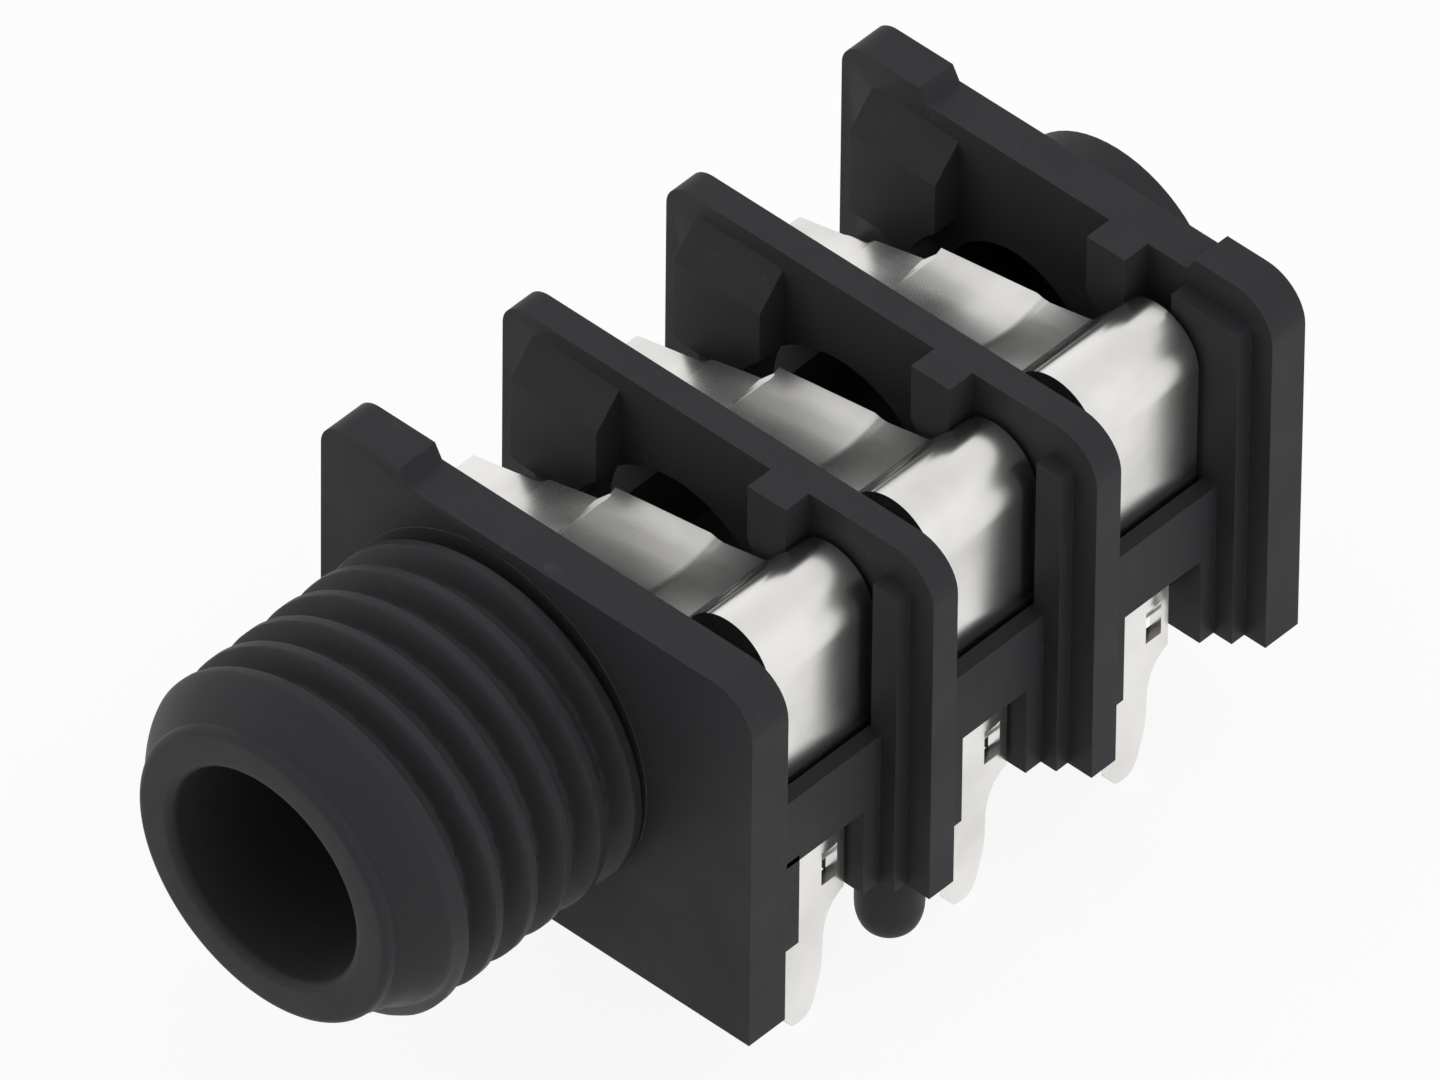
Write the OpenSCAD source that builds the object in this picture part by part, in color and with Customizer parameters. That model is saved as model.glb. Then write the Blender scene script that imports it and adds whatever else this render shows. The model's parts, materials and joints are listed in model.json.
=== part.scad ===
// Board-mounted audio jack socket for a stereo plug, with three contact springs and three break contacts.
// X is to the right, Y runs from the nose to the rear, Z is up.
// The origin is on the plug's axis, in the plane of the front flange's front face.

/* [Plug] */
// Diameter of the plug
plug_d = 6.35; // [6:0.05:6.6]
// Clearance between the plug and its bore, on each side
plug_clearance = 0.075; // [0.05:0.005:0.12]

/* [Nose] */
// Length of the nose in front of the flange
nose_length = 9; // [6:0.25:12]
// Diameter over the crests of the thread
thread_d = 10.8; // [10.2:0.1:11.4]
// Diameter of the plain ring at the mouth
ring_d = 9; // [8.2:0.1:9.6]
// Length of the plain ring
ring_length = 0.35; // [0.2:0.05:1]
// Length of the ring and the tapered land behind it
land_length = 1.6; // [0.8:0.1:2]
// Step in radius between the ring and the land
ring_step = 0.3; // [0.1:0.05:0.5]
// Distance from one crest of the thread to the next
thread_pitch = 1.33; // [1.2:0.01:1.6]
// Depth of the thread's grooves
thread_depth = 0.6; // [0.3:0.05:0.7]
// Size of the bevel at the mouth of the bore
mouth_bevel = 0.2; // [0.05:0.05:0.4]

/* [Walls] */
// Distance from the plug's axis to the left edge of the walls
wall_left = 6.3; // [6:0.1:7.5]
// Distance from the rail's outer face to the right edge of the walls
wall_proud = 1.4; // [0.6:0.1:2.5]
// Height of the walls above the plug's axis
wall_top = 5.8; // [5.5:0.1:7]
// Height of the plug's axis above the board
board_drop = 6; // [5.6:0.1:7.5]
// How far the front flange reaches down past the board's top face
flange_lip = 0.45; // [0:0.05:1]
// Thickness of the front flange
flange_t = 1.4; // [1:0.1:1.7]
// Thickness of each partition wall
partition_t = 0.95; // [0.7:0.05:1.3]
// Thickness of the rear wall
rear_t = 1.3; // [0.8:0.1:1.6]
// Radius of the walls' top right corner
right_corner_r = 1.4; // [0.8:0.1:2]
// Radius of the walls' top left corner
left_corner_r = 0.8; // [0.4:0.1:1.2]
// Height of the raised corners of the front flange and the rear wall
raised_h = 0.45; // [0.2:0.05:0.8]
// Width of a raised corner
raised_w = 2.8; // [2.2:0.1:3.5]

/* [Bays] */
// Distance from one contact to the next
pitch = 6.35; // [6.2:0.05:7]
// Distance from the front flange's front face to the first contact's middle
first_contact = 4.85; // [4.75:0.05:5.2]
// Distance from a contact's middle to the face of the wall behind it
wall_behind = 2.15; // [2.05:0.05:2.4]
// Thickness of the pad on the rear wall, behind the last roll
pad_t = 0.5; // [0.2:0.05:0.8]
// How far the guide blocks and ribs stand out of the wall behind each contact
guide_proud = 0.9; // [0.5:0.05:1]

/* [Rails and feet] */
// Distance from the plug's axis to the outer face of the right rail
rail_right = 7.7; // [7.3:0.1:8.4]
// Distance from the plug's axis to the outer face of the left rail
rail_left = 5.75; // [5.5:0.05:5.95]
// Thickness of the right rail
rail_t = 0.5; // [0.35:0.05:0.65]
// Thickness of the left rail
left_rail_t = 0.75; // [0.5:0.05:0.9]
// Drop of the rails' top below the plug's axis
rail_drop = 0.65; // [0.3:0.05:1.2]
// Height of the rails
rail_h = 2.35; // [1.5:0.05:2.6]
// Thickness of the floor and of the right inner wall
floor_t = 1.2; // [0.8:0.1:1.5]
// Gap between the plug's bore and the floor
floor_gap = 0.2; // [0.1:0.05:0.4]
// How far the feet reach in front of the walls
foot_lead = 1.05; // [0.6:0.05:1.1]
// How far the partitions' feet reach behind the walls
foot_trail = 0.55; // [0.3:0.05:0.7]
// Diameter of the locating pegs
peg_d = 1.9; // [1.4:0.1:2]
// Length of the locating pegs below the board's top face
peg_length = 2.4; // [1:0.1:3]

/* [Rear boss] */
// Diameter of the boss behind the rear wall
boss_d = 7.2; // [6.8:0.1:8]
// Length of the boss
boss_length = 2.7; // [2:0.1:4]
// Thickness of the wall round and behind the pocket for the plug's tip
boss_wall = 1.1; // [0.7:0.1:1.4]

/* [Contact springs] */
// Thickness of the spring strip
strip_t = 0.4; // [0.3:0.05:0.5]
// Width of the leg and of the roll
leg_w = 4; // [3.5:0.1:4]
// Width of the zone that meets the plug
zone_w = 2.5; // [2.2:0.1:2.6]
// Width of the tongue at the arm's end
tongue_w = 1.5; // [1.1:0.1:1.6]
// Outer radius of the roll
roll_r = 1.5; // [1.25:0.05:1.6]
// Height of the roll's top above the plug's axis
roll_top = 4.7; // [4.5:0.1:4.9]
// Angle that the strip wraps round the roll
roll_wrap = 150; // [140:1:155]
// Height of the zone's middle plane above the plug's axis, at the axis
zone_height = 2.62; // [2.55:0.01:2.75]
// Slope of the zone that meets the plug
zone_slope = 9; // [7:0.5:10]
// Slope of the tongue
tongue_slope = 12.5; // [10:0.5:14]
// Distance from the plug's axis to the zone's right end
zone_right = 2.4; // [2:0.1:2.6]
// Distance from the plug's axis to the zone's left end
zone_left = 1.4; // [1:0.1:1.7]
// Distance from the plug's axis to the tongue's end
tongue_reach = 5.7; // [5.2:0.1:5.8]
// Clearance of the strips in their slots, on each side
slot_clearance = 0.1; // [0.05:0.01:0.15]

/* [Break contacts] */
// Thickness of the break contact's strip
break_t = 0.35; // [0.25:0.05:0.4]
// Width of the break contact's strip
break_w = 2; // [1.6:0.1:2.4]
// Reach of the bent top along the tongue
break_reach = 1.2; // [0.8:0.1:1.3]
// Gap between the break contact and the tongue at rest
break_gap = 0.05; // [0.03:0.01:0.1]

/* [Tails] */
// Width of a solder tail
tail_w = 1.1; // [0.8:0.1:1.3]
// Length of a tail below the board's top face
tail_length = 3.8; // [3:0.1:5]
// How far a spring's tail stands in front of its contact's middle
tail_lead = 0.35; // [0.2:0.05:0.45]
// Sideways swing of the kink that holds the tail in its hole
tail_kink = 0.25; // [0:0.05:0.4]
// Width of the spring leg's shank between the rail and the board
shank_w = 2.1; // [1.7:0.1:2.1]

/* [Hidden] */
$fn = 64;

black_nylon = [0.1, 0.1, 0.11];
tin_plate = [0.85, 0.85, 0.82];

// Order of the contacts from the nose to the rear
sleeve = 0;
ring = 1;
tip = 2;
bays = [sleeve, ring, tip];

// Overlap that makes neighbouring features of one moulding a single body
fuse = 0.2;
// Extra length of a cut past the faces that it breaks through
past = 1;

bore_r = plug_d / 2 + plug_clearance;
thread_r = thread_d / 2;
ring_r = ring_d / 2;
wall_right = rail_right + wall_proud;

// Places along the socket
function contact_y(i) = first_contact + i * pitch;
function wall_y(i) = contact_y(i) + wall_behind + (i == tip ? pad_t : 0);
function wall_t(i) = i == tip ? rear_t : partition_t;
rear_y = wall_y(tip);
rear_end = rear_y + rear_t;

// Levels of the rails and the floor
rail_top = -rail_drop;
rail_bottom = rail_top - rail_h;
floor_top = -bore_r - floor_gap;
floor_bottom = floor_top - floor_t;

// The strips stand in slots just behind the rails
leg_x = rail_right - rail_t - slot_clearance - strip_t / 2;
break_x = -(rail_left - left_rail_t - slot_clearance - break_t / 2);
inner_right = leg_x - strip_t / 2 - slot_clearance;
inner_left = break_x + break_t / 2 + slot_clearance;

// The arm bends at the top of the leg, where a narrow split parts it from the leg
roll_mid_r = roll_r - strip_t / 2;
roll_z = roll_top - roll_r;
split_drop = 0.1;
split_z = roll_z - split_drop;
split_gap = 0.08;
// Radius of the reverse bend from the roll to the arm, at the middle of the strip
reverse_r = 0.6;
// Where the strip narrows from the roll's width, measured from the leg
roll_span = 2;
// Width of the arm between the roll and the zone
neck_w = 2.2;

// Guide block and rib on the wall behind each contact
block_left = -5.2;
block_w = 3.1;
block_bottom = 1.4;
block_h = 3.8;
block_bevel = 1;
rib_x = 3.97;
rib_r = 0.68;
rib_bottom = 3.4;

// Run of the step from a raised corner down to a wall's top edge
raised_run = 0.25;

// Column beside each roll, on the face of a partition, and the pad on the rear wall
column_proud = 0.45;
column_gap = 0.25;
column_margin = 0.85;
column_top = 4.6;
pad_left = 5.95;
pad_margin = 0.75;
pad_top = 5.15;

// Plain part of the thread's last crest, width of a crest and of a groove's bottom
thread_end = 0.2;
crest_w = 0.3;
root_w = 0.25;

// Places of the locating pegs: in from the rail's face, and behind the first partition's face
peg_inset = 0.45;
peg_back = 0.5;
// Overlap of a peg with its foot
peg_fuse = 0.05;

// Window that the lance is cut from, in the spring leg's shank
window_w = 0.6;
window_h = 1.2;
window_edge = 0.28;
window_rise = 0.6;

function unit(v) = v / norm(v);
function left_of(v) = [-v[1], v[0]];
// Points of an arc from angle a to angle b, from its first step on
function arc(centre, r, a, b, first, steps) =
    [for (i = [first:steps]) let (t = a + (b - a) * i / steps) centre + r * [cos(t), sin(t)]];
// Sideways step at a point of a path that keeps the strip's thickness round its bends
function mitre(p, i) =
    let (a = unit(i > 0 ? p[i] - p[i - 1] : p[1] - p[0]),
         b = unit(i < len(p) - 1 ? p[i + 1] - p[i] : p[i] - p[i - 1]),
         n = unit(left_of(a) + left_of(b)))
    n / (n * left_of(a));

// Flat outline of a strip of thickness t along a path
module ribbon(p, t) {
    last = len(p) - 1;
    polygon(concat([for (i = [0:last]) p[i] + mitre(p, i) * t / 2],
                   [for (i = [last:-1:0]) p[i] - mitre(p, i) * t / 2]));
}

// Turns what is drawn along Z to run along Y
module along_y() {
    rotate([-90, 0, 0]) children();
}

// Raises an outline drawn in X and Z into a plate from y to y + t
module plate(y, t) {
    translate([0, y + t, 0]) rotate([90, 0, 0]) linear_extrude(t) children();
}

// Raises an outline drawn in Y and Z into a strip from x to x + t
module strip(x, t) {
    translate([x, 0, 0]) rotate([90, 0, 90]) linear_extrude(t) children();
}

// Block between two corners
module block(low, high) {
    translate(low) cube(high - low);
}

// Outline of a wall with its two top corners rounded; each corner may stand above the top edge
module wall_outline(bottom, left_h, right_h) {
    left_step = raised_w - wall_left;
    right_step = wall_right - raised_w;
    difference() {
        polygon([
            [-wall_left, bottom],
            [wall_right, bottom],
            [wall_right, wall_top + right_h],
            [right_step, wall_top + right_h],
            [right_step - raised_run, wall_top],
            [left_step + raised_run, wall_top],
            [left_step, wall_top + left_h],
            [-wall_left, wall_top + left_h]]);
        corner_cut(wall_right, wall_top + right_h, right_corner_r, 1);
        corner_cut(-wall_left, wall_top + left_h, left_corner_r, -1);
    }
}

// Waste outside a rounded top corner; side is 1 on the right and -1 on the left
module corner_cut(x, top, r, side) {
    difference() {
        translate([side > 0 ? x - r : x - past, top - r]) square(r + past);
        translate([x - side * r, top - r]) circle(r);
    }
}

// Section of one groove of the thread, from its front crest to its rear crest
function groove(front) =
    let (rear = front + thread_pitch - crest_w,
         root_r = thread_r - thread_depth,
         flank = (thread_pitch - crest_w - root_w) / 2)
    [[thread_r, front], [root_r, front + flank], [root_r, rear - flank], [thread_r, rear]];

// Nose: mouth ring, tapered land and the thread's crests and grooves, counted from the flange
module nose() {
    grooves = floor((nose_length - land_length - thread_end) / thread_pitch);
    along_y() rotate_extrude() polygon(concat(
        [[0, -nose_length],
         [ring_r, -nose_length],
         [ring_r, ring_length - nose_length],
         [ring_r + ring_step, ring_length - nose_length],
         [thread_r, land_length - nose_length]],
        [for (i = [grooves:-1:1]) each groove(crest_w / 2 - thread_end - i * thread_pitch)],
        [[thread_r, fuse],
         [0, fuse]]));
}

// Front flange with its raised left corner
module flange() {
    plate(0, flange_t) wall_outline(-board_drop - flange_lip, raised_h, 0);
}

// Wall behind a contact, with its guide block, rib, column or pad, and feet
module back_wall(i) {
    y = wall_y(i);
    last = i == tip;
    foot_back = y + (last ? fuse : partition_t + foot_trail);
    plate(y, wall_t(i)) wall_outline(-board_drop, last ? raised_h : 0, last ? raised_h : 0);
    guide_block(y);
    guide_rib(y);
    if (last) roll_pad(y);
    else roll_column(y);
    block([inner_right - floor_t, y - foot_lead, -board_drop], [rail_right, foot_back, rail_bottom + fuse]);
    block([-rail_left, y - foot_lead, -board_drop], [inner_left, foot_back, rail_bottom + fuse]);
}

// Block above the tongue, with a bevelled top
module guide_block(y) {
    strip(block_left, block_w) polygon([
        [y + fuse, block_bottom],
        [y - guide_proud, block_bottom],
        [y - guide_proud, block_bottom + block_h - block_bevel],
        [y, block_bottom + block_h],
        [y + fuse, block_bottom + block_h]]);
}

// Rib beside the roll, with a round bottom
module guide_rib(y) {
    plate(y - guide_proud, guide_proud + fuse) {
        translate([rib_x - rib_r, rib_bottom + rib_r]) square([2 * rib_r, wall_top - rib_bottom - rib_r]);
        translate([rib_x, rib_bottom + rib_r]) circle(rib_r);
    }
}

// Column on a partition, to the right of the roll
module roll_column(y) {
    left = leg_x + strip_t / 2 + column_gap;
    block([left, y - column_proud, -board_drop], [wall_right - column_margin, y + fuse, column_top]);
}

// Pad on the rear wall, behind the last roll
module roll_pad(y) {
    block([pad_left, y - pad_t, -board_drop], [wall_right - pad_margin, y + fuse, pad_top]);
}

// Rails, inner walls and floor that tie the walls together
module frame() {
    back = rear_y + fuse;
    block([rail_right - rail_t, 0, rail_bottom], [rail_right, back, rail_top]);
    block([-rail_left, 0, rail_bottom], [left_rail_t - rail_left, back, rail_top]);
    block([inner_right - floor_t, 0, floor_bottom], [inner_right, back, rail_top]);
    block([inner_left, 0, floor_bottom], [-bore_r - floor_gap, back, rail_top]);
    block([inner_left, 0, floor_bottom], [inner_right, back, floor_top]);
}

// Boss behind the rear wall
module rear_boss() {
    translate([0, rear_end - fuse, 0]) along_y() cylinder(d = boss_d, h = boss_length + fuse);
}

// Locating pegs under the first partition's feet, with domed ends
module pegs() {
    y = wall_y(sleeve) + peg_back;
    for (x = [rail_right - peg_inset, peg_inset - rail_left])
        translate([x, y, -board_drop - peg_length]) {
            translate([0, 0, peg_d / 4]) cylinder(d = peg_d, h = peg_length - peg_d / 4 + peg_fuse);
            cylinder(d1 = peg_d / 2, d2 = peg_d, h = peg_d / 4);
        }
}

// Bore for the plug through the nose, flange and partitions, and the pocket for its tip
module plug_way() {
    translate([0, -nose_length - past, 0]) along_y() cylinder(r = bore_r, h = rear_y + nose_length + past);
    translate([0, -nose_length, 0]) along_y()
        cylinder(r1 = bore_r + mouth_bevel, r2 = bore_r, h = mouth_bevel);
    translate([0, rear_y - fuse, 0]) along_y()
        cylinder(d = boss_d - 2 * boss_wall, h = rear_t + boss_length - boss_wall + fuse);
}

module housing() {
    color(black_nylon) difference() {
        union() {
            nose();
            flange();
            for (i = bays) back_wall(i);
            frame();
            rear_boss();
            pegs();
        }
        plug_way();
    }
}

// Kinked solder tail with a round end; y is its middle at the board
module tail(y) {
    board = -board_drop;
    end = board - tail_length + tail_w / 2;
    ribbon([[y, board + fuse],
            [y, board - tail_length * 0.15],
            [y + tail_kink, board - tail_length * 0.35],
            [y - tail_kink, board - tail_length * 0.65],
            [y - tail_kink, end]], tail_w);
    translate([y - tail_kink, end]) circle(tail_w / 2);
}

// Leg of a contact spring: the wide top behind the rail, the shank and the tail
module spring_leg(i) {
    y = contact_y(i);
    top = split_z - split_gap / 2;
    shank_rear = y + wall_behind - foot_lead - slot_clearance;
    wide_bottom = rail_bottom + slot_clearance + fuse;
    window_y = shank_rear - window_edge - window_w;
    window_z = window_rise - board_drop;
    inner = leg_x - strip_t / 2;
    outer = leg_x + strip_t / 2;
    color(tin_plate) difference() {
        union() {
            block([inner, y - leg_w / 2, wide_bottom], [outer, y + leg_w / 2, top]);
            block([inner, shank_rear - shank_w, -board_drop], [outer, shank_rear, rail_top]);
            strip(inner, strip_t) tail(y - tail_lead);
        }
        block([inner - past, window_y, window_z], [outer + past, window_y + window_w, window_z + window_h]);
    }
}

// Middle line of a spring's roll and arm, from the split to the tongue's end
function arm_path() =
    let (roll_centre = [leg_x - roll_mid_r, roll_z],
         wrap_dir = [cos(roll_wrap), sin(roll_wrap)],
         reverse_centre = roll_centre + (roll_mid_r + reverse_r) * wrap_dir,
         slope = tan(zone_slope),
         zone_start = [zone_right, zone_height + zone_right * slope],
         zone_end = [-zone_left, zone_height - zone_left * slope],
         tongue_end = [-tongue_reach, zone_end[1] - (tongue_reach - zone_left) * tan(tongue_slope)],
         neck = zone_start - reverse_centre,
         // The neck leaves the reverse bend along the tangent that meets the zone's start
         leave = atan2(neck[1], neck[0]) + acos(reverse_r / norm(neck)))
    concat([[leg_x, split_z + split_gap / 2]],
           arc(roll_centre, roll_mid_r, 0, roll_wrap, 0, 20),
           arc(reverse_centre, reverse_r, roll_wrap - 180, leave, 1, 8),
           [zone_start, zone_end, tongue_end]);

// Roll and arm of a contact spring: full width at the roll, then neck, zone and tongue
module spring_arm(i) {
    y = contact_y(i);
    widths = [[leg_x - roll_span, leg_x + roll_r, leg_w],
              [zone_right - fuse, leg_x - roll_span + fuse, neck_w],
              [-zone_left, zone_right, zone_w],
              [-tongue_reach - past, fuse - zone_left, tongue_w]];
    color(tin_plate) intersection() {
        plate(y - leg_w / 2, leg_w) ribbon(arm_path(), strip_t);
        translate([0, 0, -past]) linear_extrude(roll_top + 2 * past)
            for (w = widths) translate([w[0], y - w[2] / 2]) square([w[1] - w[0], w[2]]);
    }
}

// Break contact: tail, leg and a top bent along the underside of the tongue
module break_contact(i) {
    y = contact_y(i);
    slope = tan(tongue_slope);
    drop = (strip_t / 2 + break_gap + break_t / 2) / cos(tongue_slope);
    tongue_at_leg = zone_height - zone_left * tan(zone_slope) + (break_x + zone_left) * slope;
    bend = [break_x, tongue_at_leg - drop];
    top = bend + break_reach * [1, slope];
    color(tin_plate) {
        plate(y - break_w / 2, break_w) ribbon([[break_x, -board_drop], bend, top], break_t);
        strip(break_x - break_t / 2, break_t) tail(y);
    }
}

housing();
spring_leg(sleeve);  // sleeve_spring_leg
spring_leg(ring);  // ring_spring_leg
spring_leg(tip);  // tip_spring_leg
spring_arm(sleeve);  // sleeve_spring_arm
spring_arm(ring);  // ring_spring_arm
spring_arm(tip);  // tip_spring_arm
break_contact(sleeve);  // sleeve_break_contact
break_contact(ring);  // ring_break_contact
break_contact(tip);  // tip_break_contact
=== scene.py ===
"""Looks of a board-mounted audio jack socket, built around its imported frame.

Sizes are in metres, in the frame of the part: X to the right, Y from the nose to the rear and Z up,
with the origin on the plug's axis at the front flange. MM turns millimetres into metres.
"""

import json
import math
from collections import namedtuple

import bmesh
import bpy
from bpy.props import FloatProperty, FloatVectorProperty, IntProperty, PointerProperty
from mathutils import Matrix, Vector


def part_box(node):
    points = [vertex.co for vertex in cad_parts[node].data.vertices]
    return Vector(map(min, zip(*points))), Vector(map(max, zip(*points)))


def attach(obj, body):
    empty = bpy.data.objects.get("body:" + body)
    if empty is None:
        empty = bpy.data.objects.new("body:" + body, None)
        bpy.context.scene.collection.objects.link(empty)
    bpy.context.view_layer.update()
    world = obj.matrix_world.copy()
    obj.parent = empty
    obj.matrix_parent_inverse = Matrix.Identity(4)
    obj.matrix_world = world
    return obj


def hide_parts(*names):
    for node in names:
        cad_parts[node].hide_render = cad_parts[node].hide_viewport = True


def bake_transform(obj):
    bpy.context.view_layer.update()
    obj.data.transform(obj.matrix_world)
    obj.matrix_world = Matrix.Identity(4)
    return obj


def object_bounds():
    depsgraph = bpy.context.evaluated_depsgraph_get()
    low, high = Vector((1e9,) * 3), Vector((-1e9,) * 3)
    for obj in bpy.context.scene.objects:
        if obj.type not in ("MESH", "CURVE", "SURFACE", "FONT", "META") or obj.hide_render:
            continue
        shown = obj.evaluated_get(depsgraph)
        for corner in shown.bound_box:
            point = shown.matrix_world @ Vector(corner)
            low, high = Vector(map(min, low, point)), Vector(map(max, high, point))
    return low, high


bl_info = {
    "name": "Audio jack socket",
    "version": (1, 0, 0),
    "blender": (4, 5, 0),
    "location": "View3D > Sidebar > Jack socket",
    "description": "Builds the housing, contact springs and break contacts of a jack socket",
    "category": "Add Mesh",
}

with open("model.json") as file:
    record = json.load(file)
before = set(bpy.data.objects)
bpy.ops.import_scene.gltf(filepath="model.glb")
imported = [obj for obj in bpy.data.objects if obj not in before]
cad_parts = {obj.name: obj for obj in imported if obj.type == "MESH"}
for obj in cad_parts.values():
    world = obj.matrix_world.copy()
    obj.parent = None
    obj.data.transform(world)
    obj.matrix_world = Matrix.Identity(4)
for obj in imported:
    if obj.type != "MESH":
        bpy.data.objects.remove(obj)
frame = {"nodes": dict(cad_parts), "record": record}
CAD_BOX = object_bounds()

MM = 0.001
SAME_PLACE = 1e-7
ON_PLANE = 1e-8
CONTACTS = ("sleeve", "ring", "tip")
MOUNTS = {mount["name"]: mount for mount in frame["record"]["mounts"]}


def size(name, words, default):
    """A length in metres that a user may change."""
    return FloatProperty(name=name, description=words, default=default, min=0.0, precision=5,
                         subtype="DISTANCE", unit="LENGTH")


def colour(name, words, default):
    """A linear colour that a user may change."""
    return FloatVectorProperty(name=name, description=words, default=default, min=0.0, max=1.0,
                               size=3, subtype="COLOR")


def turn(name, words, degrees):
    """An angle that a user may change."""
    return FloatProperty(name=name, description=words, default=math.radians(degrees),
                         subtype="ANGLE")


class HousingSizes(bpy.types.PropertyGroup):
    """Sizes of the threaded nose, the pegs, the guide feet and the moulding's edges."""

    ring_radius: size("Ring radius", "Radius of the plain ring at the mouth", 4.5 * MM)
    ring_length: size("Ring length", "Length of the plain ring", 0.35 * MM)
    ring_round: size("Ring round", "Radius of the ring's outer edge", 0.25 * MM)
    lip_round: size("Lip round", "Radius of the bore's edge at the mouth", 0.3 * MM)
    land_length: size("Land length", "Length from the mouth to the land's end", 1.5 * MM)
    pitch: size("Thread pitch", "Distance from one crest to the next", 1.33 * MM)
    depth: size("Thread depth", "Depth of the thread's groove", 0.65 * MM)
    run_in: turn("Run in", "Angle over which the thread's first turn deepens", 55)
    run_start: turn("Run start", "Angle to the left of the top where the first turn starts", 265)
    segments: IntProperty(name="Segments", description="Faces round the nose", default=192, min=32)
    edge_round: size("Edge round", "Radius of the moulding's rounded edges", 0.1 * MM)
    peg_dome: size("Peg dome", "Height of the round end of a board peg", 0.9 * MM)
    peg_flat: size("Peg flat", "Radius of the flat in the middle of a peg's end", 0.5 * MM)
    foot_gap: size("Foot gap", "Distance from a guide foot to the middle of its spring", 1.4 * MM)


class SpringSizes(bpy.types.PropertyGroup):
    """Sizes of the contact springs and break contacts."""

    roll_radius: size("Roll radius", "Outer radius of the roll", 1.5 * MM)
    roll_span: size("Roll span", "Width of the roll's wide part, from the leg", 2.0 * MM)
    roll_wrap: turn("Roll wrap", "Angle that the strip wraps round the roll", 150)
    reverse_radius: size("Reverse radius", "Radius of the bend from roll to arm", 0.6 * MM)
    arm_bend: size("Arm bend", "Radius of the bends along the arm", 1.6 * MM)
    zone_height: size("Zone height", "Height above the axis of the zone that meets the plug",
                      2.62 * MM)
    zone_slope: turn("Zone slope", "Slope of the zone that meets the plug", 9)
    zone_right: size("Zone right", "Distance from the axis to the zone's right end", 2.4 * MM)
    zone_left: size("Zone left", "Distance from the axis to the zone's left end", 1.4 * MM)
    zone_width: size("Zone width", "Width of the zone that meets the plug", 2.5 * MM)
    zone_dish: size("Zone dish", "Rise of the zone's edges above its middle", 0.22 * MM)
    neck_width: size("Neck width", "Width between the roll and the zone", 2.2 * MM)
    tongue_slope: turn("Tongue slope", "Slope of the tongue", 12.5)
    tongue_width: size("Tongue width", "Width of the tongue", 1.5 * MM)
    tongue_step: size("Tongue step", "Distance from the axis to the tongue's step", 3.3 * MM)
    tongue_cut: size("Tongue cut", "Width that the step takes off the rear edge", 0.25 * MM)
    tongue_front: size("Tongue front", "Distance of its front edge from the spring's middle",
                       1.4 * MM)
    tail_length: size("Tail length", "Length of a tail below the board", 3.8 * MM)
    tail_lead: size("Tail lead", "Distance of a tail in front of the spring's middle", 0.35 * MM)
    shank_front: size("Shank front", "Distance of the shank's front edge from the spring's middle",
                      1.1 * MM)
    shank_rear: size("Shank rear", "Distance of the shank's rear edge from the spring's middle",
                     1.0 * MM)
    shank_height: size("Shank height", "Height of the shank above the board", 3.3 * MM)
    window_height: size("Window height", "Height of the window in the shank", 1.2 * MM)
    window_rise: size("Window rise", "Height of the window above the board", 0.6 * MM)
    lance_length: size("Lance length", "Length of the lance bent out of the window", 0.6 * MM)
    break_thickness: size("Break thickness", "Thickness of a break contact's strip", 0.35 * MM)
    break_bend: size("Break bend", "Radius of the bend in a break contact", 0.5 * MM)
    edge_round: size("Edge round", "Radius of the strip's rounded edges", 0.025 * MM)


class FinishColours(bpy.types.PropertyGroup):
    """Colours of the finishes."""

    nylon: colour("Nylon", "Black moulded nylon", (0.032, 0.032, 0.035))
    # The paler nylon stands for scuff marks on every face, and on the rounded edges also for a
    # painted highlight.
    nylon_scuffed_and_highlit: colour("Worn nylon", "Nylon along the rubbed edges", (0.050, 0.050, 0.055))
    tin: colour("Tin", "Bright tin plate", (0.83, 0.82, 0.795))
    tin_dull: colour("Dull tin", "Tin plate where it is handled", (0.71, 0.70, 0.67))
    floor: colour("Floor", "Pale studio floor", (0.95, 0.95, 0.95))


class StageSizes(bpy.types.PropertyGroup):
    """Camera and studio."""

    azimuth: turn("Azimuth", "Camera's turn round the socket", 42.267)
    elevation: turn("Elevation", "Camera's height above the horizon", 43.197)
    roll: turn("Roll", "Camera's roll", 0.605)
    distance: size("Distance", "Camera's distance", 1.0)
    lens: FloatProperty(name="Lens", description="Camera's focal length in millimetres",
                        default=954.75)
    aim: FloatVectorProperty(name="Aim", description="Point in the middle of the picture", size=3,
                             default=(3.25 * MM, 5.10 * MM, 4.53 * MM), subtype="XYZ",
                             unit="LENGTH")
    floor_reach: size("Floor reach", "Half the width of the studio floor", 2.0)


# Shared helpers for meshes


def contact_y(contact):
    """Middle of a contact along the socket."""
    low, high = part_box(f"{contact}_spring_leg")
    return (low[1] + high[1]) / 2


def new_piece(name, bm, materials):
    """Turns a bmesh into an object at the origin, and frees the bmesh."""
    mesh = bpy.data.meshes.new(name)
    bm.to_mesh(mesh)
    bm.free()
    for material in materials:
        mesh.materials.append(material)
    piece = bpy.data.objects.new(name, mesh)
    bpy.context.scene.collection.objects.link(piece)
    return piece


def shade_by_angle(bm, degrees):
    """Smooth faces, with sharp edges past an angle."""
    limit = math.radians(degrees)
    for face in bm.faces:
        face.smooth = True
    for edge in bm.edges:
        edge.smooth = len(edge.link_faces) == 2 and edge.calc_face_angle(0) < limit


def round_edges(piece, width, degrees):
    """Rounds the edges of a piece that bend by more than an angle."""
    soften = piece.modifiers.new("rounded_edges", "BEVEL")
    soften.width = width
    soften.segments = 2
    soften.limit_method = "ANGLE"
    soften.angle_limit = math.radians(degrees)
    soften.harden_normals = True
    return soften


def cut_rim(cut):
    """Edges that a cut by a plane has left."""
    return [e for e in cut["geom_cut"] if isinstance(e, bmesh.types.BMEdge)]


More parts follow.
